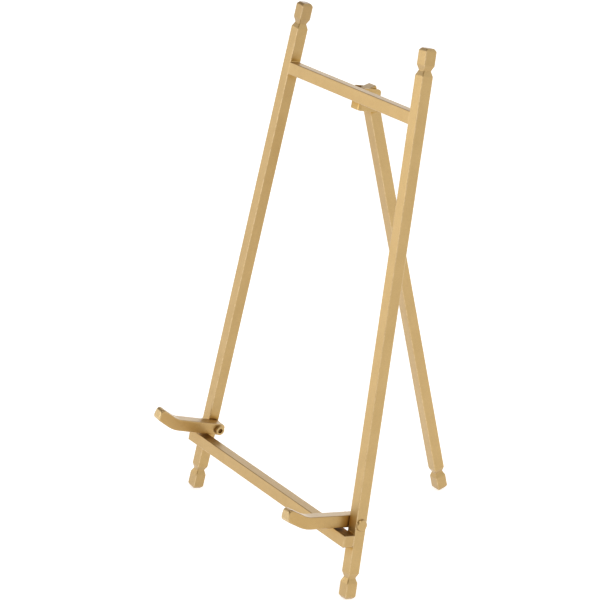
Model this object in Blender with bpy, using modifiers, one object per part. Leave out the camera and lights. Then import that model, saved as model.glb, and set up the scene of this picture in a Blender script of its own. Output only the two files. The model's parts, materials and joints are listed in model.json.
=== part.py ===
"""A folding display easel of square bar: two tapering front legs joined by two rails,
a hinged rear leg, and two pivoting arms with upturned tips that hold the picture.

Metres, +Z up. +X runs along the rails, -Y is the side that the picture faces.
The origin is on the table, at the centre of the easel's footprint.
"""

from math import atan2, cos, pi, radians, sin, tan

import bmesh
import bpy
from mathutils import Matrix, Vector

# ---------------------------------------------------------------- driving dimensions
BAR = 0.006                      # side of the square bar that everything is cut from
EDGE = 0.0005                    # rounding along the bar's edges
WELD_GAP = 0.0003                # air left between two pieces that are welded together
RUN_GAP = 0.0002                 # side clearance of a piece that turns
PIN_FIT = 0.00009                # radial clearance of a pin or rivet in its holes

LEAN = radians(12.3)             # front frame, back from upright
TAPER = radians(4.37)            # each front leg, inward from the frame's centre line
FOOT_SPREAD = 0.1403             # between the front legs' centre lines at their feet
LEG_LENGTH = 0.2604              # front leg, end to end
FRAME_Y = -0.0401                # the front legs' foot ends, before the origin

NECK = 0.0102                    # from a bar's end to the middle of its forged neck
NECK_HALF = 0.0024               # the neck's groove, from its middle to its rim
NECK_DEPTH = 0.0009              # how far the groove goes in on each side
TAPER_LENGTH = 0.0013            # the chamfer that closes each foot and finial
TAPER_INSET = 0.0009
TOE = BAR / 2 - TAPER_INSET - EDGE      # half of the flat left on a foot's end

TOP_RAIL_UP = 0.2272             # rail centres, up the slope of the front frame
BOTTOM_RAIL_UP = 0.0292
BOTTOM_RAIL_LENGTH = 0.1424

HINGE_UP = 0.2250                # rear leg's pin, up the slope of the front frame
HINGE_BACK = 0.0112              # and behind the frame's centre plane
REAR_LEAN = radians(12.27)       # rear leg, from upright
REAR_TOP = 0.0061                # rear leg above its pin
PIN_RADIUS = 0.0013
PIN_HEAD_RADIUS = 0.0023
PIN_HEAD_HEIGHT = 0.0008

BRACKET_REAR = 0.0142            # the bracket's back edge, behind the frame's centre plane
BRACKET_WEB_REAR = 0.0059        # the web's back face: the rear leg's stop
BRACKET_TOP = 0.2302             # up the slope, flush with the top of the rail
BRACKET_BOTTOM = 0.2193
BRACKET_WEB_TOP = 0.2288
BRACKET_EAR = 0.0008             # thickness of each ear
BRACKET_CORNER = 0.0018          # rounding of the ears' rear corners
BRACKET_FOLD = 0.0015            # rounding where each ear folds out of the web

ARM_PIVOT_UP = 0.0367            # the arms' rivets, along the front legs from their foot ends
ARM_REAR = 0.0034                # arm behind its rivet
REAR_ROUND = 0.0021              # of that end's corners
ARM_STRAIGHT = 0.0237            # from the rivet to the start of the bend
ARM_BEND_RADIUS = 0.0156         # of the bar's centre line
ARM_BEND = radians(23)
TIP_UNDER = 0.0075               # underside of the tip, beyond the bend
TIP_OVER = 0.0097                # upper side of the tip, to its corner before rounding
TIP_ROUND = 0.0024               # length taken off that corner on each side
TIP_TOE = 0.0006                 # the same at the tip's lower corner
ARM_REST = {"left": radians(7.4), "right": radians(0.2)}   # above the frame's normal

RIVET_RADIUS = 0.0015
RIVET_HEAD_RADIUS = 0.0029
RIVET_HEAD_HEIGHT = 0.0010
RIVET_HEAD_RIM = 0.00015         # upright part of the head, below its dome
RIVET_LIP_RADIUS = 0.0024        # the raised, hollow end
RIVET_LIP_HEIGHT = 0.0016
RIVET_LIP_ROUND = 0.00025        # of its outer and inner rims
RIVET_BORE_RADIUS = 0.0012
RIVET_BORE_DEPTH = 0.0050
RIVET_SEAT = 0.00015             # air under a rivet's head and lip

GOLD = (0.56, 0.37, 0.16, 1.0)   # satin gold paint
GOLD_METALLIC = 0.75
GOLD_ROUGHNESS = 0.38
ROUND_STEPS = 32
EPS = 1e-6


# ---------------------------------------------------------------- scene helpers
def clear_scene():
    for obj in list(bpy.data.objects):
        bpy.data.objects.remove(obj, do_unlink=True)


def new_collection(name):
    collection = bpy.data.collections.new(name)
    bpy.context.scene.collection.children.link(collection)
    return collection


def paint_gold(obj):
    mat = bpy.data.materials.new(obj.name + "_gold")
    mat.use_nodes = True
    shader = mat.node_tree.nodes["Principled BSDF"]
    shader.inputs["Base Color"].default_value = GOLD
    shader.inputs["Metallic"].default_value = GOLD_METALLIC
    shader.inputs["Roughness"].default_value = GOLD_ROUGHNESS
    mat.diffuse_color = GOLD
    obj.data.materials.append(mat)


def place(obj, parent=None, location=(0, 0, 0), rotation=(0, 0, 0)):
    obj.parent = parent
    obj.location = location
    obj.rotation_euler = rotation
    return obj


def empty(name, parent=None, location=(0, 0, 0), rotation=(0, 0, 0)):
    obj = bpy.data.objects.new(name, None)
    obj.empty_display_size = 2 * BAR
    parts.objects.link(obj)
    return place(obj, parent, location, rotation)


def mesh_object(name, bm, collection):
    """Closes a bmesh into an object with its faces pointing out."""
    bmesh.ops.recalc_face_normals(bm, faces=bm.faces)
    mesh = bpy.data.meshes.new(name)
    bm.to_mesh(mesh)
    bm.free()
    obj = bpy.data.objects.new(name, mesh)
    collection.objects.link(obj)
    return obj


def part_object(name, bm):
    obj = mesh_object(name, bm, parts)
    paint_gold(obj)
    return obj


def cutter_object(name, bm):
    obj = mesh_object(name, bm, cutters)
    obj.hide_render = True
    obj.display_type = "WIRE"
    return obj


def round_edges(obj, width=EDGE, segments=2, angle=radians(15)):
    bevel = obj.modifiers.new("rounded edges", "BEVEL")
    bevel.width = width
    bevel.segments = segments
    bevel.limit_method = "ANGLE"
    bevel.angle_limit = angle
    bevel.use_clamp_overlap = True


def cut(obj, cutter):
    boolean = obj.modifiers.new("cut", "BOOLEAN")
    boolean.operation = "DIFFERENCE"
    boolean.solver = "EXACT"
    boolean.object = cutter


# ---------------------------------------------------------------- bars
def box_bmesh(low, high):
    bm = bmesh.new()
    bmesh.ops.create_cube(bm, size=1)
    low = Vector(low)
    high = Vector(high)
    for v in bm.verts:
        v.co = Vector(low[i] + (v.co[i] + 0.5) * (high[i] - low[i]) for i in range(3))
    return bm


def slice_at(bm, z):
    bmesh.ops.bisect_plane(bm, geom=bm.verts[:] + bm.edges[:] + bm.faces[:],
                           plane_co=(0, 0, z), plane_no=(0, 0, 1), dist=EPS)


def narrow_at(bm, z, inset):
    """Moves the section at height z in by inset on every side."""
    share = 1 - 2 * inset / BAR
    for v in bm.verts:
        if abs(v.co.z - z) < EPS:
            v.co.x *= share
            v.co.y *= share


def forge_end(bm, end, inward):
    """A necked, chamfered end at height end; inward is +1 where the bar lies above it."""
    rim = end + inward * TAPER_LENGTH
    neck = end + inward * NECK
    for z in (rim, neck - NECK_HALF, neck, neck + NECK_HALF):
        slice_at(bm, z)
    narrow_at(bm, neck, NECK_DEPTH)
    narrow_at(bm, end, TAPER_INSET)


def leg_bar(name, bottom, top, forged_top=True):
    """An upright bar with a forged foot, and a forged finial if it stands free at the top."""
    half = BAR / 2
    bm = box_bmesh((-half, -half, bottom), (half, half, top))
    forge_end(bm, bottom, 1)
    if forged_top:
        forge_end(bm, top, -1)
    leg = part_object(name, bm)
    round_edges(leg)
    return leg


def hole_across(name, parent, z, radius, half_length):
    """A cutter for a round hole along the parent's X axis."""
    bm = bmesh.new()
    bmesh.ops.create_cone(bm, cap_ends=True, segments=ROUND_STEPS, radius1=radius,
                          radius2=radius, depth=2 * half_length)
    cutter = cutter_object(name, bm)
    place(cutter, parent, (0, 0, z), (0, pi / 2, 0))
    return cutter


# ---------------------------------------------------------------- turned pieces
def turned(name, profile, parent, location, toward_plus_x):
    """Spins a profile of (radius, distance) points about the parent's X axis."""
    mesh = bpy.data.meshes.new(name)
    points = [(r, 0, z) for r, z in profile]
    mesh.from_pydata(points, [(i, i + 1) for i in range(len(points) - 1)], [])
    obj = bpy.data.objects.new(name, mesh)
    parts.objects.link(obj)
    paint_gold(obj)
    spin = obj.modifiers.new("turned", "SCREW")
    spin.steps = ROUND_STEPS
    spin.render_steps = ROUND_STEPS
    spin.use_merge_vertices = True
    spin.merge_threshold = EPS
    spin.use_smooth_shade = True
    side = 1 if toward_plus_x else -1
    return place(obj, parent, location, (0, side * pi / 2, 0))


def domed_head(radius, height, base, steps=5):
    """A low button head, from the axis down to its underside at distance base."""
    points = [(0, base + height)]
    flat = radius - height
    for i in range(steps + 1):
        turn = pi / 2 * i / steps
        points.append((flat + height * sin(turn), base + height * cos(turn)))
    return points


def rivet_profile(grip):
    """Button head, shank of length grip, and a raised end with a blind hole, from the top."""
    head = domed_head(RIVET_HEAD_RADIUS, RIVET_HEAD_HEIGHT - RIVET_HEAD_RIM, RIVET_HEAD_RIM)
    end = -grip - RIVET_LIP_HEIGHT
    rim = []
    for i in range(4):
        turn = pi / 2 * i / 3
        rim.append((RIVET_LIP_ROUND * (1 - cos(turn)), end + RIVET_LIP_ROUND * (1 - sin(turn))))
    outer_rim = [(RIVET_LIP_RADIUS - inset, z) for inset, z in rim]
    inner_rim = [(RIVET_BORE_RADIUS + inset, z) for inset, z in reversed(rim)]
    return head + [
        (RIVET_HEAD_RADIUS, 0), (RIVET_RADIUS, 0), (RIVET_RADIUS, -grip),
        (RIVET_LIP_RADIUS, -grip),
    ] + outer_rim + inner_rim + [(RIVET_BORE_RADIUS, end + RIVET_BORE_DEPTH), (0, end + RIVET_BORE_DEPTH)]


def pin_profile(grip):
    """A solid pin with a low head on each end, from the top."""
    top = domed_head(PIN_HEAD_RADIUS, PIN_HEAD_HEIGHT, 0)
    foot = [(r, -grip - z) for r, z in reversed(top)]
    return top + [(PIN_RADIUS, 0), (PIN_RADIUS, -grip)] + foot


# ---------------------------------------------------------------- flat outlines
def rounded_corner(before, corner, after, reach, steps=5):
    """Points on an arc that touches both sides of a corner, reach away from it."""
    into = (before - corner).normalized()
    out = (after - corner).normalized()
    start = corner + into * reach
    half = into.angle(out) / 2
    radius = reach * tan(half)
    centre = corner + (into + out).normalized() * (reach / cos(half))
    first = atan2(start.y - centre.y, start.x - centre.x)
    sweep = pi - 2 * half
    turn = 1 if into.cross(out) < 0 else -1
    return [centre + radius * Vector((cos(first + turn * sweep * i / steps),
                                      sin(first + turn * sweep * i / steps)))
            for i in range(steps + 1)]


def extruded_outline(name, points, width, parent):
    """A flat outline in (forward, up), as thick as width along X."""
    curve = bpy.data.curves.new(name, "CURVE")
    curve.dimensions = "2D"
    curve.fill_mode = "BOTH"
    curve.extrude = width / 2
    spline = curve.splines.new("POLY")
    spline.points.add(len(points) - 1)
    for slot, point in zip(spline.points, points):
        slot.co = (point[0], point[1], 0, 1)
    spline.use_cyclic_u = True
    flat = bpy.data.objects.new(name + "_outline", curve)
    parts.objects.link(flat)
    bpy.context.view_layer.update()
    evaluated = flat.evaluated_get(bpy.context.evaluated_depsgraph_get())
    mesh = bpy.data.meshes.new_from_object(evaluated)
    bpy.data.objects.remove(flat)
    bm = bmesh.new()
    bm.from_mesh(mesh)
    bpy.data.meshes.remove(mesh)
    bmesh.ops.remove_doubles(bm, verts=bm.verts, dist=EPS)
    # the outline's (x, y, z) becomes (across, -forward, up)
    bm.transform(Matrix(((0, 0, 1, 0), (-1, 0, 0, 0), (0, 1, 0, 0), (0, 0, 0, 1))))
    return place(part_object(name, bm), parent)


def arm_outline():
    """Side view of an arm: (forward, up) from its rivet."""
    half = BAR / 2
    bend_centre = Vector((ARM_STRAIGHT, ARM_BEND_RADIUS))
    along = Vector((cos(ARM_BEND), sin(ARM_BEND)))

    def bend(radius, steps=6):
        return [bend_centre + radius * Vector((sin(ARM_BEND * i / steps), -cos(ARM_BEND * i / steps)))
                for i in range(steps + 1)]

    under = bend(ARM_BEND_RADIUS + half)
    over = bend(ARM_BEND_RADIUS - half)
    tip_low = under[-1] + along * TIP_UNDER
    tip_high = over[-1] + along * TIP_OVER
    rear_low = Vector((-ARM_REAR, -half))
    rear_high = Vector((-ARM_REAR, half))
    return (
        rounded_corner(rear_high, rear_low, under[0], REAR_ROUND)
        + under
        + rounded_corner(under[-1], tip_low, tip_high, TIP_TOE, 2)
        + rounded_corner(tip_low, tip_high, over[-1], TIP_ROUND)
        + over[::-1]
        + rounded_corner(over[0], rear_high, rear_low, REAR_ROUND)
    )


# ---------------------------------------------------------------- the easel
def leg_axis_x(up):
    """Distance of a front leg's centre line from the middle, at a height up the slope."""
    return FOOT_SPREAD / 2 - up * tan(TAPER)


def front_leg(side, sign, frame):
    leg = leg_bar(side + "_leg", 0, LEG_LENGTH)
    place(leg, frame, (sign * FOOT_SPREAD / 2, 0, 0), (0, -sign * TAPER, 0))
    cut(leg, hole_across(side + "_leg_hole", leg, ARM_PIVOT_UP, RIVET_RADIUS + PIN_FIT, BAR))
    return leg


def top_rail(frame):
    """Butt-welded between the legs, its ends cut to their slope."""
    half = BAR / 2
    inner = half / cos(TAPER) + WELD_GAP
    bm = box_bmesh((-1, -half, -half), (1, half, half))
    for v in bm.verts:
        v.co.x *= leg_axis_x(TOP_RAIL_UP + v.co.z) - inner
    rail = part_object("top_rail", bm)
    round_edges(rail)
    return place(rail, frame, (0, 0, TOP_RAIL_UP))


def bottom_rail(frame):
    """Welded across the fronts of the legs."""
    half = BAR / 2
    long_half = BOTTOM_RAIL_LENGTH / 2
    bm = box_bmesh((-long_half, -half, -half), (long_half, half, half))
    rail = part_object("bottom_rail", bm)
    round_edges(rail)
    return place(rail, frame, (0, -BAR - WELD_GAP, BOTTOM_RAIL_UP))


def hinge_bracket(frame):
    """A clevis welded behind the top rail: two thin ears, and a web that stops the rear leg."""
    slot_half = BAR / 2 + RUN_GAP
    outer_half = slot_half + BRACKET_EAR
    front = BAR / 2 + WELD_GAP
    bm = box_bmesh((-outer_half, front, BRACKET_BOTTOM), (outer_half, BRACKET_REAR, BRACKET_TOP))

    def edges_where(test):
        return [e for e in bm.edges if all(test(v.co) for v in e.verts)]

    rear = edges_where(lambda c: c.y > BRACKET_REAR - EPS)
    rear = [e for e in rear if abs(e.verts[0].co.x - e.verts[1].co.x) > EPS]
    bmesh.ops.bevel(bm, geom=rear, offset=BRACKET_CORNER, segments=5, affect="EDGES", profile=0.5)
    for sign in (-1, 1):
        front_edge = edges_where(lambda c: c.y < front + EPS and sign * c.x > outer_half - EPS)
        bmesh.ops.bevel(bm, geom=front_edge, offset=BRACKET_FOLD, segments=4, affect="EDGES", profile=0.5)
    bracket = part_object("hinge_bracket", bm)
    place(bracket, frame)
    high = BRACKET_TOP + BAR
    slot = box_bmesh((-slot_half, BRACKET_WEB_REAR, BRACKET_BOTTOM - BAR),
                     (slot_half, BRACKET_REAR + BAR, high))
    notch = box_bmesh((-slot_half, 0, BRACKET_WEB_TOP), (slot_half, BRACKET_REAR, high))
    for name, bm in (("bracket_slot", slot), ("bracket_notch", notch)):
        cutter = cutter_object(name, bm)
        place(cutter, frame)
        cut(bracket, cutter)
    hole = hole_across("bracket_hole", frame, HINGE_UP, PIN_RADIUS + PIN_FIT, 2 * BAR)
    hole.location.y = HINGE_BACK
    cut(bracket, hole)
    return bracket


def hinge_pin(frame):
    grip = BAR + 2 * (RUN_GAP + BRACKET_EAR + RIVET_SEAT)
    return turned("hinge_pin", pin_profile(grip), frame, (grip / 2, HINGE_BACK, HINGE_UP), True)


def rear_leg(frame):
    """Hangs from its pin and stands on a forged foot."""
    pin_height = HINGE_UP * cos(LEAN) - HINGE_BACK * sin(LEAN) + frame.location.z
    toe_drop = TOE * sin(REAR_LEAN)
    length = (pin_height - toe_drop) / cos(REAR_LEAN)
    pivot = empty("rear_leg_pivot", frame, (0, HINGE_BACK, HINGE_UP), (LEAN + REAR_LEAN, 0, 0))
    leg = leg_bar("rear_leg", -length, REAR_TOP, forged_top=False)
    place(leg, pivot)
    cut(leg, hole_across("rear_leg_hole", leg, 0, PIN_RADIUS + PIN_FIT, BAR))
    return leg


def arm(side, sign, leg):
    """Pivots on a rivet, against the inner side of its leg."""
    inward = -sign * (BAR + RUN_GAP)
    pivot = empty(side + "_arm_pivot", leg, (inward, 0, ARM_PIVOT_UP), (-ARM_REST[side], 0, 0))
    obj = extruded_outline(side + "_arm", arm_outline(), BAR, pivot)
    round_edges(obj, angle=radians(40))
    cut(obj, hole_across(side + "_arm_hole", obj, 0, RIVET_RADIUS + PIN_FIT, BAR))
    return obj


def arm_rivet(side, sign, leg):
    """Head on the leg's outer face, hollow end on the arm's inner face."""
    head_seat = sign * (BAR / 2 + RIVET_SEAT)
    grip = 2 * BAR + RUN_GAP + 2 * RIVET_SEAT
    return turned(side + "_arm_rivet", rivet_profile(grip), leg,
                  (head_seat, 0, ARM_PIVOT_UP), sign > 0)


def frame_height():
    """Lifts the leaning frame so that the lowest corner of its feet meets the table."""
    return TOE * (sin(LEAN) + sin(TAPER) * cos(LEAN))


def build():
    frame = empty("front_frame", None, (0, FRAME_Y, frame_height()), (-LEAN, 0, 0))
    for side, sign in (("left", -1), ("right", 1)):
        leg = front_leg(side, sign, frame)
        arm(side, sign, leg)
        arm_rivet(side, sign, leg)
    top_rail(frame)
    bottom_rail(frame)
    hinge_bracket(frame)
    hinge_pin(frame)
    rear_leg(frame)


clear_scene()
parts = new_collection("display_easel")
cutters = new_collection("cutters")
build()
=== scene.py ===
"""A satin gold display easel in a plain studio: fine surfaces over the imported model.

Metres, in the model's own frame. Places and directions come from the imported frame: its
nodes' meshes, its joints' axes and its mounts' normals.
"""

import json
from functools import cache
from math import atan2, cos, pi, radians, sin, sqrt

import bmesh
import bpy
from mathutils import Matrix, Vector, noise
from mathutils.bvhtree import BVHTree


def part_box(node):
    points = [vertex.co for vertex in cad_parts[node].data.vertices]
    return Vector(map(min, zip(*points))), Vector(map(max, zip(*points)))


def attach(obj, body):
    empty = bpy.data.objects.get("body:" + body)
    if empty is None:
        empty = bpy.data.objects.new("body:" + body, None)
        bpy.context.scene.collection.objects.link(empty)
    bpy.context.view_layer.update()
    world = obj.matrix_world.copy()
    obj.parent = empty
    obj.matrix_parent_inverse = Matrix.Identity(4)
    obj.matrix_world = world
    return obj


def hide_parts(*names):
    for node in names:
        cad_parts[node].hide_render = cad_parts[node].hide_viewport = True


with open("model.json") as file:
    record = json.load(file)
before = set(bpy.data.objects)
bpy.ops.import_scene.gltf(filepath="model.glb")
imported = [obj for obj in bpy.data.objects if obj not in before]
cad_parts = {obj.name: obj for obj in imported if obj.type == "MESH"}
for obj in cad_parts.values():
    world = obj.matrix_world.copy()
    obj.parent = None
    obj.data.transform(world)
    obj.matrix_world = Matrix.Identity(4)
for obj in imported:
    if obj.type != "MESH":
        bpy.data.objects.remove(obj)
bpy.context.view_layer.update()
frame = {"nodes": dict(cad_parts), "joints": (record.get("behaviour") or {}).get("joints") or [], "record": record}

joints = {joint["name"]: joint for joint in frame["joints"]}
mounts = {mount["name"]: mount for mount in frame["record"]["mounts"]}

# ---------------------------------------------------------------- sizes, in metres
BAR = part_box("rear_leg")[1].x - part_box("rear_leg")[0].x
HALF = BAR / 2
ROUND = 0.0004                   # radius of the bar's painted edges
ROUND_STEPS = 5
NECK_ROUNDING = 0.2              # how much that radius grows as a bar is hammered narrower
RING_PITCH = 0.003               # between the rings of a bar's mesh
UNEVEN = 0.000022                # how far a hot-rolled face strays from flat
UNEVEN_SIZE = 0.011

NECK = 0.0102                    # from a bar's end to the middle of its forged neck
NECK_HALF = 0.0024
NECK_DEPTH = 0.0009
END_LENGTH = 0.0012              # the chamfer round a foot's or finial's end
END_INSET = 0.00085
END_RIM = 0.0008                 # width of the mesh's band round the flat of that end
END_EASE = 0.0003                # how softly the forged shapes turn
CUT_EASE = 0.0006                # the same at a plain cut end
END_SKIN = 0.00012               # depth of the skin on an end's face that gets painted shade
CUT_END_SHADE = 0.5                   # how much painted shade the face of a plain cut end gets
FOOT_SHADE = 0.12                 # how much painted shade darkens a foot beside its bar
RAIL_END = 0.001                 # the last stretch of the top rail's mesh
RAIL_SUNK = 0.00002              # how far the top rail sits back from the legs' fronts

ARM_REAR = 0.0034                # the arm's outline, from its rivet
REAR_ROUND = 0.0021
REAR_STEPS = 14
ARM_STRAIGHT = 0.0237
ARM_BEND_RADIUS = 0.0156
ARM_BEND = radians(23)
BEND_STEPS = 10
TIP_UNDER = 0.0075
TIP_OVER = 0.0097
TIP_ROUND = 0.0024
TIP_NOSE = 0.0008                # rounding of the end's lower corner
TIP_EDGE = 0.0011                # rounding of the tip's upright edges
TIP_BLEND = 0.003                # how far back the bar's edges begin to turn into those
TIP_STEPS = 26
TIP_FACE = 0.0004                # depth of the skin on the tip's end that gets a painted highlight

SPIN_STEPS = 64
RIVET_SHANK = 0.0015
RIVET_HEAD_HEIGHT = 0.0010
HEAD_SEAT = 0.00014              # air under the CAD's rivet head
HEAD_TOP = 0.86                  # share of a head's radius that its domed top takes
HEAD_DOME = 0.12                 # share of its height that the top falls by
HEAD_RIM = 0.65                  # share of its height that its eased rim takes
HEAD_STEPS = 6
RIVET_LIP_RADIUS = 0.0024
RIVET_LIP_HEIGHT = 0.0016
RIVET_LIP_ROUND = 0.00025
RIVET_BORE = 0.0012
BORE_FLOOR = ((0.96, 0.0036), (0.5, 0.0046), (0, 0.0048))   # (share of its radius, depth)
PIN_SHANK = 0.0013
PIN_HEAD_HEIGHT = 0.0008
BRACKET_BEVEL = 0.0003

WELD = 0.0007                    # leg of the small weld fillets
WELD_PITCH = 0.0006              # between the rings of a weld's mesh
WELD_STEPS = 6                   # round its hollow face
WELD_SUNK = 0.0002               # how far it reaches behind its corner
WELD_UNEVEN = 0.22
WELD_INSET = 0.001               # how far the weld under the bracket stops short of its sides
BEAD_RADIUS = 0.0004
BEAD_PROUD = 0.00002
BEAD_STEPS = 12
BEAD_SIDES = 16

CORNER_RAYS = 40                 # cast all round each point to see how closed in it is
CORNER_REACH = 0.014
RAY_LIFT = 0.0001                # where a ray starts, above the skin
GRAZING = 0.08                   # rays that rise less steeply than this are left out
TURNED_SHARE = 0.3               # how much of the painted corner shade turned pieces take
LEVEL_EDGE = 0.42                # upward tilt at which an edge's painted highlight turns to painted shade
EDGE_BEND = radians(9)           # mean bend round a point on an edge that takes the full painted highlight or shade

CAMERA_AZIMUTH = radians(56.952)
CAMERA_ELEVATION = radians(21.556)
CAMERA_DISTANCE = 1.0596
CAMERA_TARGET = Vector((-0.00009, -0.0206, 0.12366))
CAMERA_LENS = 132.53             # in mm, as the sensor
CAMERA_SENSOR = 36

# ---------------------------------------------------------------- light and colour
SKY_RISE = (0, -0.3, 1)          # the room stays bright to a greater height behind the easel
SKY_LOW = 0.54                   # where, along that, it begins to dim
SKY_HIGH = 0.68
SKY_BRIGHT = (1.08, 1.08, 1.08, 1)
SKY_DIM = (0.16, 0.11, 0.06, 1)
FLOOR_RADIUS = 6
FLOOR_WHITE = 0.7
FLOOR_GLOW = 0.72
KEY_PLACE = Vector((-0.85, -1.45, 0.55))
KEY_SIZE = 0.6
KEY_POWER = 5.0
TOP_PLACE = Vector((0.2, -0.3, 2.2))
TOP_SIZE = 1.2
TOP_POWER = 12

# Painted shade for corners and crevices: a brown, then a deep brown where most closed in.
CORNER_SHADE_TINT = (0.44, 0.255, 0.06, 1)
CORNER_SHADE_DARK = (0.145, 0.05, 0.003, 1)
# Painted highlight for upright edges.
EDGE_HIGHLIGHT = (0.86, 0.69, 0.44, 1)
# Painted highlight for the arm tips' ends.
TIP_HIGHLIGHT = (0.585, 0.53, 0.33, 1)
# Painted shade for upward-facing edges, end faces, feet, finials and rivet bores.
SHADE_BROWN = (0.20, 0.115, 0.045, 1)
PATCH_SCALE = 85                 # of the paint's noises, per metre
MOTTLE_SCALE = 650
FLAKE_SCALE = 3200

RIGHT = Vector((1, 0, 0))
FACE = Vector(mounts["back_rest"]["axis"])       # the way the front frame faces
UP_SLOPE = RIGHT.cross(-FACE)


# ---------------------------------------------------------------- places taken from the CAD
@cache
def corners_of(node):
    """A CAD node's points, each once."""
    places = {tuple(round(c, 7) for c in v.co) for v in frame["nodes"][node].data.vertices}
    return [Vector(p) for p in places]


def span(node, direction):
    """How far a CAD node reaches along a direction, from its lowest to its highest."""
    reach = [p.dot(direction) for p in corners_of(node)]
    return min(reach), max(reach)


def joint_axis(name):
    return Vector(joints[name]["axis"])


def turn_to(across, back):
    """Axes with X across the piece, Y to its back and Z along it."""
    return Matrix((across, back, across.cross(back))).transposed()


def snug_frame(node, across, back):
    """A CAD node's own axes, at the centre of its low end, and its length along them."""
    turn = turn_to(across, back)
    spans = [span(node, turn.col[i]) for i in range(3)]
    base = turn @ Vector((sum(spans[0]) / 2, sum(spans[1]) / 2, spans[2][0]))
    return Matrix.Translation(base) @ turn.to_4x4(), spans[2][1] - spans[2][0]


def lean_of(node):
    """The direction that a bar in the middle plane runs, upwards."""
    points = corners_of(node)
    middle = sum(points, Vector()) / len(points)
    yz = sum((p - middle).y * (p - middle).z for p in points)
    zz = sum((p - middle).z ** 2 for p in points)
    yy = sum((p - middle).y ** 2 for p in points)
    lean = atan2(2 * yz, zz - yy) / 2
    return Vector((0, sin(lean), cos(lean)))


def pivot_frame(joint, up):
    """Axes at a hinge: X against its axis, Z along up."""
    across = -joint_axis(joint)
    return Matrix.Translation(joints[joint]["pos_m"]) @ turn_to(across, up.cross(across)).to_4x4()


# ---------------------------------------------------------------- mesh tools
def soften(points, reach, steps=4):
    """Swaps each inner corner of a line for an arc that starts reach away from it."""
    line = [points[0]]
    last = len(points) - 2
    for i in range(1, last + 1):
        into = points[i - 1] - points[i]
        out = points[i + 1] - points[i]
        room = min(reach, into.length * (1 if i == 1 else 0.5),
                   out.length * (1 if i == last else 0.5))
        into.normalize()
        out.normalize()
        half = into.angle(out) / 2
        centre = points[i] + (into + out).normalized() * room / cos(half)
        start = points[i] + into * room - centre
        end = points[i] + out * room - centre
        line += [centre + start.length * start.normalized().slerp(end.normalized(), k / steps)
                 for k in range(steps + 1)]
    line.append(points[-1])
    return line


def rounded_ring(half_width, low, high, low_round, high_round):
    """A rectangle with rounded corners, as points anticlockwise from its lower right."""
    ring = []
    corners = (
        (half_width - low_round, low + low_round, low_round, -pi / 2),
        (half_width - high_round, high - high_round, high_round, 0),
        (-half_width + high_round, high - high_round, high_round, pi / 2),
        (-half_width + low_round, low + low_round, low_round, pi),
    )
    for x, y, radius, start in corners:
        for i in range(ROUND_STEPS + 1):
            turn = start + pi / 2 * i / ROUND_STEPS
            ring.append(Vector((x + radius * cos(turn), y + radius * sin(turn))))
    return ring


def split_flats(ring, shares=(0.03, 0.35, 0.65, 0.97)):
    """Adds points along the ring's four flats, two of them close beside the rounded edges."""
    full = []
    per_corner = ROUND_STEPS + 1
    for i, point in enumerate(ring):
        full.append(point)
        if i % per_corner == per_corner - 1:
            after = ring[(i + 1) % len(ring)]
            full += [point.lerp(after, share) for share in shares]
    return full


def loft(rings):
    """A closed skin over rings of 3-D points, capped at both ends."""
    bm = bmesh.new()
    rows = [[bm.verts.new(p) for p in ring] for ring in rings]
    count = len(rows[0])
    for low, high in zip(rows, rows[1:]):
        for i in range(count):
            j = (i + 1) % count
            bm.faces.new((low[i], low[j], high[j], high[i]))
    bm.faces.new(rows[0][::-1])
    bm.faces.new(rows[-1])
    return bm


def roughen(bm, seed):
    """Pushes the skin in and out a little, as rolled and forged bar is never quite flat."""
    bm.normal_update()
    shift = Vector((seed * 7.3, seed * 3.1, seed * 5.7))
    for v in bm.verts:
        wave = noise.noise(v.co / UNEVEN_SIZE + shift)
        v.co += v.normal * wave * UNEVEN


def store(mesh, name, values):
    layer = mesh.attributes.new(name, "FLOAT", "POINT")
    layer.data.foreach_set("value", values)


def mark_edges(mesh, palest, darkest):
    """Stores how sharply the skin bends outward at each point, for the paint to read.

    Upright edges get a painted highlight. Level edges, whose normals tilt up, get painted shade if darkest is
    below 0. Gentle bends do not count.
    """
    bm = bmesh.new()
    bm.from_mesh(mesh)
    bm.normal_update()
    edge_light_shade = []
    for v in bm.verts:
        bends = [e.calc_face_angle_signed(0) for e in v.link_edges]
        level = 1 - abs(v.normal.z) / LEVEL_EDGE
        bend = sum(bends) / max(1, len(bends)) / EDGE_BEND
        edge_light_shade.append(min(1, max(0, 2 * bend - 1)) * min(palest, max(darkest, level)))
    bm.free()
    store(mesh, "edge_highlight", [max(0, w) for w in edge_light_shade])
    store(mesh, "edge_shade", [max(0, -w) for w in edge_light_shade])


def shade_corners():
    """Stores how closed in each point of the skin is, for painted shade in corners, crevices and gaps between
    parts.
    """
    points = []
    faces = []
    for obj in pieces:
        if obj.name.endswith("_turned"):
            continue
        first = len(points)
        points += [v.co.copy() for v in obj.data.vertices]
        faces += [[first + i for i in face.vertices] for face in obj.data.polygons]
    tree = BVHTree.FromPolygons(points, faces)
    golden = pi * (3 - sqrt(5))
    rays = []
    for i in range(CORNER_RAYS):
        z = 1 - (2 * i + 1) / CORNER_RAYS
        flat = sqrt(1 - z * z)
        rays.append(Vector((flat * cos(golden * i), flat * sin(golden * i), z)))
    for obj in pieces:
        share = TURNED_SHARE if obj.name.endswith("_turned") else 1
        closed = []
        for v in obj.data.vertices:
            open_sky = 1e-6
            blocked = 0
            for ray in rays:
                facing = ray.dot(v.normal)
                if facing < GRAZING:
                    continue
                open_sky += facing
                distance = tree.ray_cast(v.co + v.normal * RAY_LIFT, ray, CORNER_REACH)[3]
                if distance is not None:
                    blocked += facing * (1 - distance / CORNER_REACH)
            closed.append(blocked / open_sky * share)
        store(obj.data, "corner_shade", closed)


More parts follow.
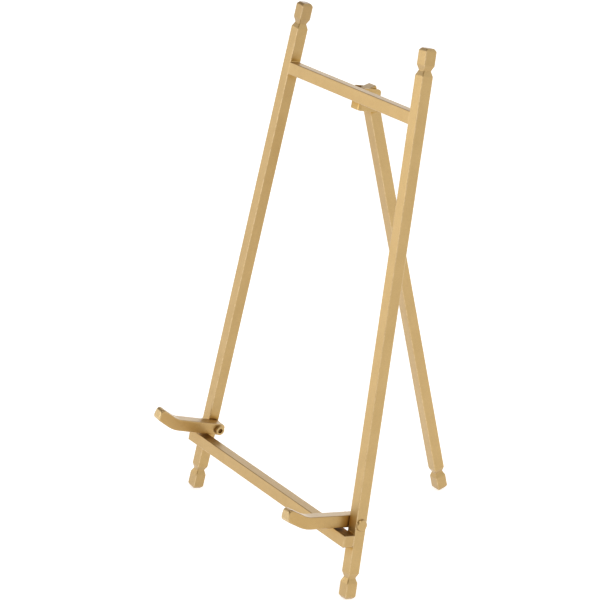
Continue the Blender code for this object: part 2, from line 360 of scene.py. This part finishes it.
def finish_piece(name, bm, matrix, body, material, node=None, flat_angle=50, shade_at=None,
                 is_highlit=None):
    """Makes a mesh object of a bmesh and ties it to the frame.

    Edges sharper than flat_angle degrees are shaded as edges. For a point in the piece's own axes, the shade
    function tells how much painted shade is laid there, and the highlight test whether it gets a painted
    highlight.
    """
    painted_shade = [float(shade_at(v.co)) if shade_at else 0.0 for v in bm.verts]
    tip_highlight = [float(is_highlit(v.co)) if is_highlit else 0.0 for v in bm.verts]
    bm.transform(matrix)
    bmesh.ops.recalc_face_normals(bm, faces=bm.faces)
    if bm.calc_volume(signed=True) < 0:
        bmesh.ops.reverse_faces(bm, faces=bm.faces)
    mesh = bpy.data.meshes.new(name)
    bm.to_mesh(mesh)
    bm.free()
    # Upright edges get a painted highlight, faint on turned pieces; on rails and arms the upward-facing edges get
    # painted shade.
    palest = 0.1 if name.endswith("_turned") else 1
    darkest = -0.5 if "rail" in name or "arm_bar" in name else 0.1
    mark_edges(mesh, palest, darkest)
    store(mesh, "painted_shade", painted_shade)
    store(mesh, "tip_highlight", tip_highlight)
    mesh.shade_smooth()
    mesh.set_sharp_from_angle(angle=radians(flat_angle))
    obj = bpy.data.objects.new(name, mesh)
    bpy.context.scene.collection.objects.link(obj)
    mesh.materials.append(material)
    weigh = obj.modifiers.new("weighted normals", "WEIGHTED_NORMAL")
    weigh.keep_sharp = True
    pieces.append(obj)
    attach(obj, body)
    if node:
        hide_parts(node)


# ---------------------------------------------------------------- square bars
def forged_end():
    """(distance from the end, half-width) of a chamfered block and its neck."""
    return [
        Vector((0, HALF - END_INSET - END_RIM)),
        Vector((0, HALF - END_INSET)),
        Vector((END_LENGTH, HALF)),
        Vector((NECK - NECK_HALF, HALF)),
        Vector((NECK, HALF - NECK_DEPTH)),
        Vector((NECK + NECK_HALF, HALF)),
        Vector((NECK + 2 * NECK_HALF, HALF)),
    ]


def cut_end(reach):
    """(distance from the end, half-width) of a plain cut end with eased edges."""
    return [Vector((0, HALF - 1.5 * reach)), Vector((0, HALF)), Vector((2 * reach, HALF))]


def bar_profile(length, low_end, high_end, reach=END_EASE):
    """A whole bar as (distance along it, half-width), with its two ends' corners softened."""
    low = soften(low_end, reach)
    high = [Vector((length - p.x, p.y)) for p in reversed(soften(high_end, reach))]
    start = low[-1].x
    stop = high[0].x
    count = max(1, round((stop - start) / RING_PITCH))
    shaft = [Vector((start + (stop - start) * i / count, HALF)) for i in range(1, count)]
    return low + shaft + high


def bar_mesh(profile, seed):
    rings = []
    for z, half in profile:
        radius = min(ROUND + NECK_ROUNDING * (HALF - half), half * 0.8)
        ring = split_flats(rounded_ring(half, -half, half, radius, radius))
        rings.append([Vector((p.x, p.y, z)) for p in ring])
    bm = loft(rings)
    roughen(bm, seed)
    return bm


def leg(node, joint, back, body, high_end, seed, paint, finial_shade=0):
    """A leg in its CAD node's place, with a forged foot. Its end faces, foot and finial get painted shade."""
    matrix, length = snug_frame(node, -joint_axis(joint), back)
    profile = bar_profile(length, forged_end(), high_end)
    # The end faces, the foot and the finial get painted shade.
    end_face_shade = 1 if len(high_end) == len(forged_end()) else CUT_END_SHADE

    def shade_at(p):
        if p.z < END_SKIN or p.z > length - END_SKIN:
            return end_face_shade
        if p.z < NECK:
            return FOOT_SHADE
        return finial_shade if p.z > length - NECK else 0

    finish_piece(node + "_bar", bar_mesh(profile, seed), matrix, body, paint, node,
                 shade_at=shade_at)


@cache
def front_leg_frame(side):
    return snug_frame(side + "_leg", -joint_axis(side + "_arm_turn"), -FACE)[0]


def leg_face_x(side, slope, outward):
    """How far from the middle plane a side of a front leg is, at a height up the slope."""
    matrix = front_leg_frame(side)
    foot = matrix.translation
    along = matrix.col[2].xyz
    rise = (slope - foot.dot(UP_SLOPE)) / along.dot(UP_SLOPE)
    return abs((foot + along * rise).x) + outward * HALF / abs(matrix.col[0].x)


def rail_frame(node):
    """A rail's axes, with Z along it from left to right."""
    return snug_frame(node, -UP_SLOPE, -FACE)


def top_rail():
    """Welded flush between the legs, over their rounded edges, its ends cut to their slope."""
    matrix, length = rail_frame("top_rail")
    low, high = span("top_rail", UP_SLOPE)
    square = [Vector((0, HALF)), Vector((RAIL_END, HALF))]
    bm = bar_mesh(bar_profile(length, square, square), 4)
    for v in bm.verts:
        slope = (low + high) / 2 - v.co.x
        stretch = (leg_face_x("left", slope, -1) + ROUND) / (length / 2)
        v.co.z = length / 2 + (v.co.z - length / 2) * stretch
    sunk = Matrix.Translation((0, RAIL_SUNK, 0))
    finish_piece("top_rail_bar", bm, matrix @ sunk, "frame", rail_paint, "top_rail")


def bottom_rail():
    """Laid on the fronts of the legs, across the CAD's weld gap."""
    matrix, length = rail_frame("bottom_rail")
    gap = span("bottom_rail", FACE)[0] - span("top_rail", FACE)[1]
    profile = bar_profile(length, cut_end(CUT_EASE), cut_end(CUT_EASE), CUT_EASE)
    back = Matrix.Translation((0, gap, 0))
    finish_piece("bottom_rail_bar", bar_mesh(profile, 5), matrix @ back, "frame",
                 rail_paint, "bottom_rail")


# ---------------------------------------------------------------- picture arms
def arm_sections():
    """The arm's rings: (centre, direction, low, high, half-width, corner radius).

    The centre is (forward, up) from the rivet, and the direction is an angle above forward.
    """
    for i in range(REAR_STEPS):
        turn = pi / 2 * i / REAR_STEPS
        depth = REAR_ROUND * (1 - cos(turn))
        half = HALF - REAR_ROUND * (1 - sin(turn))
        width = HALF - eased(depth, ROUND)
        yield Vector((depth - ARM_REAR, 0)), 0, -half, half, width, min(ROUND, 0.9 * half)
    start = REAR_ROUND - ARM_REAR
    count = round((ARM_STRAIGHT - start) / RING_PITCH)
    for i in range(count):
        t = start + (ARM_STRAIGHT - start) * i / count
        yield Vector((t, 0)), 0, -HALF, HALF, HALF, ROUND
    for i in range(BEND_STEPS + 1):
        turn = ARM_BEND * i / BEND_STEPS
        centre = Vector((ARM_STRAIGHT, 0)) + ARM_BEND_RADIUS * Vector((sin(turn), 1 - cos(turn)))
        yield centre, turn, -HALF, HALF, HALF, ROUND
    yield from tip_sections(centre)


def tip_sections(tip_start):
    """The upturned tip: its end is cut back underneath and rounded over the top."""
    along = Vector((cos(ARM_BEND), sin(ARM_BEND)))
    under = Vector((TIP_UNDER, -HALF))
    over = Vector((TIP_OVER, HALF))
    nose = soften([Vector((0, -HALF)), under, over], TIP_NOSE, 5)
    crown = soften([under, over, Vector((0, HALF))], TIP_ROUND, 12)
    outline = nose[:-1] + crown[1:]
    furthest = max(range(len(outline)), key=lambda i: outline[i].x)
    lower = outline[:furthest + 1]
    upper = outline[furthest:][::-1]
    reach = outline[furthest].x
    for i in range(1, TIP_STEPS + 1):
        s = min(reach * sin(pi / 2 * i / TIP_STEPS), reach - 0.00001)
        low = height_at(lower, s)
        high = height_at(upper, s)
        blunt = max(0, s - TIP_UNDER + TIP_BLEND) / (reach - TIP_UNDER + TIP_BLEND)
        width = HALF - eased(reach - s, TIP_EDGE)
        radius = min(ROUND + (TIP_EDGE - ROUND) * blunt, 0.48 * (high - low))
        yield tip_start + along * s, ARM_BEND, low, high, width, radius


def is_tip_face(p):
    """Whether a point in the arm's own axes is on the tip's end, which gets a painted highlight."""
    bend_end = Vector((ARM_STRAIGHT + ARM_BEND_RADIUS * sin(ARM_BEND),
                       ARM_BEND_RADIUS * (1 - cos(ARM_BEND))))
    along = Vector((cos(ARM_BEND), sin(ARM_BEND)))
    ahead = Vector((-p.y, p.z)) - bend_end
    height = ahead.dot(Vector((-along.y, along.x)))
    end = TIP_UNDER + (TIP_OVER - TIP_UNDER) * (height + HALF) / (2 * HALF)
    return ahead.dot(along) > end - TIP_FACE


def eased(depth, radius):
    """How far a rounded edge of that radius falls away, at a depth below the end."""
    inset = min(1, max(0, 1 - depth / radius))
    return radius * (1 - sqrt(1 - inset ** 2))


def height_at(line, s):
    """The height, at a distance s along, of a line of points that runs forward."""
    for a, b in zip(line, line[1:]):
        if a.x <= s <= b.x and b.x > a.x:
            return a.y + (b.y - a.y) * (s - a.x) / (b.x - a.x)
    return line[-1].y if s > line[-1].x else line[0].y


def arm(side, seed):
    node = side + "_arm"
    rings = []
    for centre, turn, low, high, width, radius in arm_sections():
        rise = Vector((-sin(turn), cos(turn)))
        ring = split_flats(rounded_ring(width, low, high, radius, radius))
        places = [(p.x, centre + rise * p.y) for p in ring]
        rings.append([Vector((x, -place.x, place.y)) for x, place in places])
    bm = loft(rings)
    roughen(bm, seed)
    matrix = pivot_frame(node + "_turn", Vector(mounts[side + "_ledge"]["axis"]))
    finish_piece(node + "_bar", bm, matrix, node, arm_shaded_paint, node, is_highlit=is_tip_face)


# ---------------------------------------------------------------- rivets, pin and bracket
# The bars' skins have no holes, so the shanks of the rivets and the pin pass through them.
def spun(profile):
    """Turns a line of (radius, distance) points about Z."""
    bm = bmesh.new()
    rows = []
    for radius, z in profile:
        if radius < 1e-7:
            rows.append([bm.verts.new((0, 0, z))])
            continue
        turns = (2 * pi * i / SPIN_STEPS for i in range(SPIN_STEPS))
        rows.append([bm.verts.new((radius * cos(t), radius * sin(t), z)) for t in turns])
    for low, high in zip(rows, rows[1:]):
        for i in range(SPIN_STEPS):
            j = (i + 1) % SPIN_STEPS
            if len(low) == 1:
                bm.faces.new((low[0], high[j], high[i]))
            elif len(high) == 1:
                bm.faces.new((low[i], low[j], high[0]))
            else:
                bm.faces.new((low[i], low[j], high[j], high[i]))
    return bm


def button(radius, height, base):
    """A low head with an eased rim and a faintly domed top, from its middle to its rim."""
    rim = HEAD_RIM * height
    top = []
    for k in range(HEAD_STEPS):
        fall = HEAD_DOME * height * (k / HEAD_STEPS) ** 2
        top.append(Vector((radius * k / HEAD_STEPS * HEAD_TOP, base + height - fall)))
    side = [Vector((radius * HEAD_TOP, base + (1 - HEAD_DOME) * height)),
            Vector((radius, base + height - rim)), Vector((radius, base))]
    return top + soften(side, rim)


def rivet(side, outward):
    """A button head on the leg's outer face and a raised, hollow end on the arm's inner face."""
    node = side + "_arm_rivet"
    axis = joint_axis(side + "_arm_turn") * -outward
    turn = Matrix((FACE, axis.cross(FACE), axis)).transposed()
    low, high = span(node, axis)
    head_radius = (span(node, FACE)[1] - span(node, FACE)[0]) / 2
    head_low = high - RIVET_HEAD_HEIGHT
    head = button(head_radius, RIVET_HEAD_HEIGHT, head_low)
    head.append(Vector((head_radius, head_low - HEAD_SEAT)))
    arm_face = low + RIVET_LIP_HEIGHT
    rims = [Vector((RIVET_LIP_RADIUS, arm_face)), Vector((RIVET_LIP_RADIUS, low)),
            Vector((RIVET_BORE, low)), Vector((RIVET_BORE, arm_face))]
    shank = [Vector((RIVET_SHANK, head_low - HEAD_SEAT)), Vector((RIVET_SHANK, arm_face))]
    floor = [Vector((RIVET_BORE * share, low + depth)) for share, depth in BORE_FLOOR]
    profile = head + shank + soften(rims, RIVET_LIP_ROUND) + floor
    centre = turn.transposed() @ Vector(joints[side + "_arm_turn"]["pos_m"])
    matrix = Matrix.Translation(turn @ Vector((centre.x, centre.y, 0))) @ turn.to_4x4()

    # Painted shade inside the hollow end's bore.
    def in_bore(p):
        return p.xy.length < RIVET_BORE * 1.02 and p.z < arm_face

    finish_piece(node + "_turned", spun(profile), matrix, "frame", hardware_paint,
                 node, 40, in_bore)


def hinge_pin():
    low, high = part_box("hinge_pin")
    half_length = (high.x - low.x) / 2
    head = button((high.y - low.y) / 2, PIN_HEAD_HEIGHT, half_length - PIN_HEAD_HEIGHT)
    shank = [Vector((PIN_SHANK, half_length - PIN_HEAD_HEIGHT)),
             Vector((PIN_SHANK, PIN_HEAD_HEIGHT - half_length))]
    profile = head + shank + [Vector((p.x, -p.y)) for p in reversed(head)]
    matrix = Matrix.Translation((low + high) / 2) @ Matrix.Rotation(pi / 2, 4, "Y")
    finish_piece("hinge_pin_turned", spun(profile), matrix, "frame", hardware_paint,
                 "hinge_pin", 40)


def refined_copy(node, bevel):
    """The CAD node's shape with its facets merged and its edges eased."""
    bm = bmesh.new()
    bm.from_mesh(frame["nodes"][node].data)
    bmesh.ops.remove_doubles(bm, verts=bm.verts, dist=0.000002)
    bmesh.ops.dissolve_limit(bm, angle_limit=radians(2), verts=bm.verts, edges=bm.edges)
    sharp = [e for e in bm.edges if len(e.link_faces) == 2 and e.calc_face_angle() > radians(40)]
    bmesh.ops.bevel(bm, geom=sharp, offset=bevel, segments=3, affect="EDGES", profile=0.5,
                    clamp_overlap=True)
    broad = [f for f in bm.faces if f.calc_area() > 8 * bevel ** 2]
    bmesh.ops.inset_individual(bm, faces=broad, thickness=0.4 * bevel)
    return bm


def hinge_bracket():
    finish_piece("hinge_bracket_clevis", refined_copy("hinge_bracket", BRACKET_BEVEL),
                 Matrix.Identity(4), "frame", hardware_paint, "hinge_bracket", 40)


# ---------------------------------------------------------------- welds
def weld(name, start, end, side_a, side_b, size, seed):
    """A small hollow fillet in the corner between two faces, painted over."""
    steps = max(6, round((end - start).length / WELD_PITCH))
    rings = []
    for i in range(steps + 1):
        t = i / steps
        fade = min(1, 4 * t + 0.35, 4 * (1 - t) + 0.35)
        wave = noise.noise(Vector((9 * t, seed, 0.5)))
        leg_size = size * fade * (1 + WELD_UNEVEN * wave)
        base = start.lerp(end, t)
        ring = [base - (side_a + side_b) * WELD_SUNK]
        for k in range(WELD_STEPS + 1):
            turn = pi / 2 * k / WELD_STEPS
            along_a = side_a * leg_size * (1 - sin(turn))
            along_b = side_b * leg_size * (1 - cos(turn))
            ring.append(base + along_a + along_b)
        rings.append(ring)
    finish_piece(name, loft(rings), Matrix.Identity(4), "frame", bar_paint, None, 80)


def at_frame(x, face, slope):
    """A point by its distances along X, out of the front frame and up its slope."""
    return RIGHT * x + FACE * face + UP_SLOPE * slope


def rail_welds(side, sign):
    """Fillets over and under both rails, where they meet one leg."""
    leg_up = front_leg_frame(side).col[2].xyz
    front = span("top_rail", FACE)[1]
    flat = HALF - ROUND
    for part, lift in (("over", 1), ("under", -1)):
        slope = span("top_rail", UP_SLOPE)[lift > 0]
        x = sign * leg_face_x(side, slope, -1)
        weld(f"{side}_top_weld_{part}", at_frame(x, front - HALF + flat, slope),
             at_frame(x, front - HALF - flat, slope), leg_up * lift, RIGHT * -sign, WELD,
             lift + 3 * sign)
        slope = span("bottom_rail", UP_SLOPE)[lift > 0]
        x = sign * leg_face_x(side, slope, 0)
        weld(f"{side}_bottom_weld_{part}", at_frame(x - flat, front, slope),
             at_frame(x + flat, front, slope), leg_up * lift, FACE, WELD, lift + 6 * sign)
    bead(side, sign)


def bead(side, sign):
    """A weld run that fills the groove between a leg's edge and the end of the bottom rail."""
    front = span("top_rail", FACE)[1]
    rail_end = span("bottom_rail", RIGHT)[1]
    low, high = span("bottom_rail", UP_SLOPE)
    rings = []
    for i in range(BEAD_STEPS + 1):
        slope = low + ROUND + (high - low - 2 * ROUND) * i / BEAD_STEPS
        x = min(rail_end, leg_face_x(side, slope, 1)) - BEAD_RADIUS + BEAD_PROUD
        middle = at_frame(sign * x, front, slope)
        radius = BEAD_RADIUS * (0.7 if i in (0, BEAD_STEPS) else 1)
        turns = (2 * pi * k / BEAD_SIDES for k in range(BEAD_SIDES))
        rings.append([middle + RIGHT * radius * cos(t) + FACE * radius * sin(t) for t in turns])
    finish_piece(side + "_bottom_weld_end", loft(rings), Matrix.Identity(4), "frame",
                 bar_paint, None, 80)


def bracket_welds():
    """Fillets round the hinge bracket, on the back and the underside of the top rail."""
    half = span("hinge_bracket", RIGHT)[1]
    rear = span("top_rail", FACE)[0]
    low, high = span("top_rail", UP_SLOPE)
    for side, sign in (("left", -1), ("right", 1)):
        weld(f"bracket_weld_{side}", at_frame(sign * half, rear, low + ROUND),
             at_frame(sign * half, rear, high - ROUND), RIGHT * sign, -FACE, WELD, 11 + sign)
    weld("bracket_weld_under", at_frame(-half + WELD_INSET, rear, low),
         at_frame(half - WELD_INSET, rear, low), -UP_SLOPE, FACE, 0.7 * WELD, 14)


# ---------------------------------------------------------------- paint
def node_of(tree, kind, **inputs):
    made = tree.nodes.new(kind)
    for key, value in inputs.items():
        made.inputs[key.replace("_", " ")].default_value = value
    return made


def noise_node(tree, coords, scale, detail=3, roughness=0.5):
    made = node_of(tree, "ShaderNodeTexNoise", Scale=scale, Detail=detail, Roughness=roughness)
    tree.links.new(coords, made.inputs["Vector"])
    return made.outputs["Fac"]


def map_range(tree, value, low, high, to_low, to_high):
    made = tree.nodes.new("ShaderNodeMapRange")
    for i, number in enumerate((low, high, to_low, to_high), 1):
        made.inputs[i].default_value = number
    tree.links.new(value, made.inputs[0])
    return made.outputs[0]


def stored(tree, name):
    """A value that mark_edges, shade_corners or finish_piece stored on the mesh."""
    made = tree.nodes.new("ShaderNodeAttribute")
    made.attribute_name = name
    return made.outputs["Fac"]


def mix_colour(tree, factor, a, b, blend="MIX"):
    made = tree.nodes.new("ShaderNodeMix")
    made.data_type = "RGBA"
    made.blend_type = blend
    for socket, value in ((made.inputs[0], factor), (made.inputs[6], a), (made.inputs[7], b)):
        if isinstance(value, (tuple, float, int)):
            socket.default_value = value
        else:
            tree.links.new(value, socket)
    return made.outputs[2]


def glaze(tree, colour, name, low, high, most, over):
    """Lays another colour over the paint where a stored value is high."""
    amount = map_range(tree, stored(tree, name), low, high, 0, most)
    return mix_colour(tree, amount, colour, over)


def gold_paint(name, warm, pale, roughness, coat=0.7):
    """Satin metallic lacquer: fine flake, a slightly uneven coat, painted highlights on edges and painted shade.
    """
    mat = bpy.data.materials.new(name)
    mat.use_nodes = True
    tree = mat.node_tree
    shader = tree.nodes["Principled BSDF"]
    coords = tree.nodes.new("ShaderNodeTexCoord").outputs["Object"]
    patches = noise_node(tree, coords, PATCH_SCALE, 3)
    flake = noise_node(tree, coords, FLAKE_SCALE, 2, 0.6)
    mottle = noise_node(tree, coords, MOTTLE_SCALE, 3, 0.55)

    blend = map_range(tree, patches, 0.35, 0.65, 0, 1)
    colour = mix_colour(tree, blend, (*warm, 1), (*pale, 1))
    sparkle = map_range(tree, flake, 0.3, 0.7, 0.93, 1.07)
    grey = tree.nodes.new("ShaderNodeCombineColor")
    for socket in grey.inputs[:3]:
        tree.links.new(sparkle, socket)
    colour = mix_colour(tree, 1.0, colour, grey.outputs[0], "MULTIPLY")
    # Painted shade: darker and browner where a point is closed in by other parts.
    colour = glaze(tree, colour, "corner_shade", 0.03, 0.35, 0.75, CORNER_SHADE_TINT)
    colour = glaze(tree, colour, "corner_shade", 0.45, 0.9, 0.94, CORNER_SHADE_DARK)
    # Painted highlight along upright edges, broken up by the mottle.
    edge_glint = tree.nodes.new("ShaderNodeMath")
    edge_glint.operation = "MULTIPLY"
    tree.links.new(stored(tree, "edge_highlight"), edge_glint.inputs[0])
    tree.links.new(map_range(tree, mottle, 0.36, 0.62, 0.15, 0.6), edge_glint.inputs[1])
    colour = mix_colour(tree, edge_glint.outputs[0], colour, EDGE_HIGHLIGHT)
    # Painted shade along the upward-facing edges of rails and arms.
    colour = glaze(tree, colour, "edge_shade", 0, 0.5, 0.5, SHADE_BROWN)
    # Painted shade on end faces, feet, finials and inside the rivet bores.
    colour = glaze(tree, colour, "painted_shade", 0, 1, 0.5, SHADE_BROWN)
    # Painted highlight on the arm tips' ends.
    colour = glaze(tree, colour, "tip_highlight", 0, 1, 0.2, TIP_HIGHLIGHT)
    tree.links.new(colour, shader.inputs["Base Color"])

    tree.links.new(map_range(tree, mottle, 0.3, 0.7, roughness - 0.05, roughness + 0.06),
                   shader.inputs["Roughness"])
    grain = tree.nodes.new("ShaderNodeBump")
    grain.inputs["Strength"].default_value = 0.35
    grain.inputs["Distance"].default_value = 0.00003
    tree.links.new(flake, grain.inputs["Height"])
    peel = tree.nodes.new("ShaderNodeBump")
    peel.inputs["Strength"].default_value = 0.3
    peel.inputs["Distance"].default_value = 0.00006
    tree.links.new(mottle, peel.inputs["Height"])
    tree.links.new(grain.outputs[0], peel.inputs["Normal"])
    tree.links.new(peel.outputs[0], shader.inputs["Normal"])

    shader.inputs["Metallic"].default_value = 0.95
    # The coat fades where the painted corner shade is laid, so no sheen lightens it.
    coat_left = map_range(tree, stored(tree, "corner_shade"), 0.04, 0.4, coat, 0)
    tree.links.new(coat_left, shader.inputs["Coat Weight"])
    shader.inputs["Coat Roughness"].default_value = 0.28
    shader.inputs["Coat IOR"].default_value = 1.5
    return mat


# ---------------------------------------------------------------- studio
def plain_white(name, value, glow):
    mat = bpy.data.materials.new(name)
    mat.use_nodes = True
    shader = mat.node_tree.nodes["Principled BSDF"]
    shader.inputs["Base Color"].default_value = (value, value, value, 1)
    shader.inputs["Roughness"].default_value = 0.9
    shader.inputs["Specular IOR Level"].default_value = 0.1
    shader.inputs["Emission Color"].default_value = (1, 1, 1, 1)
    shader.inputs["Emission Strength"].default_value = glow
    return mat


def studio():
    bm = bmesh.new()
    bmesh.ops.create_circle(bm, cap_ends=True, segments=64, radius=FLOOR_RADIUS)
    mesh = bpy.data.meshes.new("floor")
    bm.to_mesh(mesh)
    bm.free()
    floor = bpy.data.objects.new("floor", mesh)
    bpy.context.scene.collection.objects.link(floor)
    mesh.materials.append(plain_white("pale_floor", FLOOR_WHITE, FLOOR_GLOW))

    bpy.context.scene.world = horizon_world()
    soft_light("key", KEY_PLACE, KEY_SIZE, KEY_POWER)
    soft_light("top", TOP_PLACE, TOP_SIZE, TOP_POWER)


def horizon_world():
    """A room that is white near the floor and dim overhead."""
    world = bpy.data.worlds.new("studio")
    world.use_nodes = True
    tree = world.node_tree
    coords = tree.nodes.new("ShaderNodeTexCoord").outputs["Generated"]
    height = tree.nodes.new("ShaderNodeVectorMath")
    height.operation = "DOT_PRODUCT"
    height.inputs[1].default_value = SKY_RISE
    tree.links.new(coords, height.inputs[0])
    glow = map_range(tree, height.outputs["Value"], SKY_LOW, SKY_HIGH, 1, 0)
    back = tree.nodes["Background"]
    tree.links.new(mix_colour(tree, glow, SKY_DIM, SKY_BRIGHT), back.inputs["Color"])
    return world


def soft_light(name, place, size, power):
    light = bpy.data.lights.new(name, "AREA")
    light.shape = "SQUARE"
    light.size = size
    light.energy = power
    obj = bpy.data.objects.new(name, light)
    obj.location = place
    obj.rotation_euler = (CAMERA_TARGET - place).to_track_quat("-Z", "Y").to_euler()
    bpy.context.scene.collection.objects.link(obj)


def camera():
    away = Vector((sin(CAMERA_AZIMUTH) * cos(CAMERA_ELEVATION),
                   -cos(CAMERA_AZIMUTH) * cos(CAMERA_ELEVATION), sin(CAMERA_ELEVATION)))
    data = bpy.data.cameras.new("camera")
    data.lens = CAMERA_LENS
    data.sensor_width = CAMERA_SENSOR
    data.clip_start = 0.05
    obj = bpy.data.objects.new("camera", data)
    obj.location = CAMERA_TARGET + away * CAMERA_DISTANCE
    obj.rotation_euler = (-away).to_track_quat("-Z", "Y").to_euler()
    bpy.context.scene.collection.objects.link(obj)
    bpy.context.scene.camera = obj


# ---------------------------------------------------------------- build
# The left leg's gold is a darker copy of the same paint, as painted shade.
left_leg_shaded_paint = gold_paint("left_leg_shaded_gold", (0.445, 0.295, 0.108), (0.47, 0.315, 0.12), 0.40)
bar_paint = gold_paint("bar_gold", (0.470, 0.315, 0.118), (0.495, 0.335, 0.13), 0.40)
# The arms' gold is a darker, more saturated copy of the same paint, as painted shade.
arm_shaded_paint = gold_paint("arm_shaded_gold", (0.46, 0.292, 0.09), (0.485, 0.312, 0.102), 0.39, 1)
rail_paint = gold_paint("rail_gold", (0.460, 0.308, 0.122), (0.485, 0.328, 0.134), 0.40, 0.4)
hardware_paint = gold_paint("hardware_gold", (0.460, 0.305, 0.108), (0.485, 0.325, 0.12), 0.38)

pieces = []
# The finials get painted shade, more on the left leg's than on the right's.
leg("left_leg", "left_arm_turn", -FACE, "frame", forged_end(), 1, left_leg_shaded_paint, 0.5)
leg("right_leg", "right_arm_turn", -FACE, "frame", forged_end(), 2, bar_paint, 0.2)
leg("rear_leg", "rear_leg_fold", lean_of("rear_leg").cross(RIGHT), "rear_leg",
    cut_end(CUT_EASE), 3, bar_paint)
top_rail()
bottom_rail()
for hand, hand_sign in (("left", -1), ("right", 1)):
    arm(hand, 8 + hand_sign)
    rivet(hand, hand_sign)
    rail_welds(hand, hand_sign)
hinge_bracket()
hinge_pin()
bracket_welds()
shade_corners()
camera()
studio()
bpy.context.scene.view_settings.view_transform = "Standard"
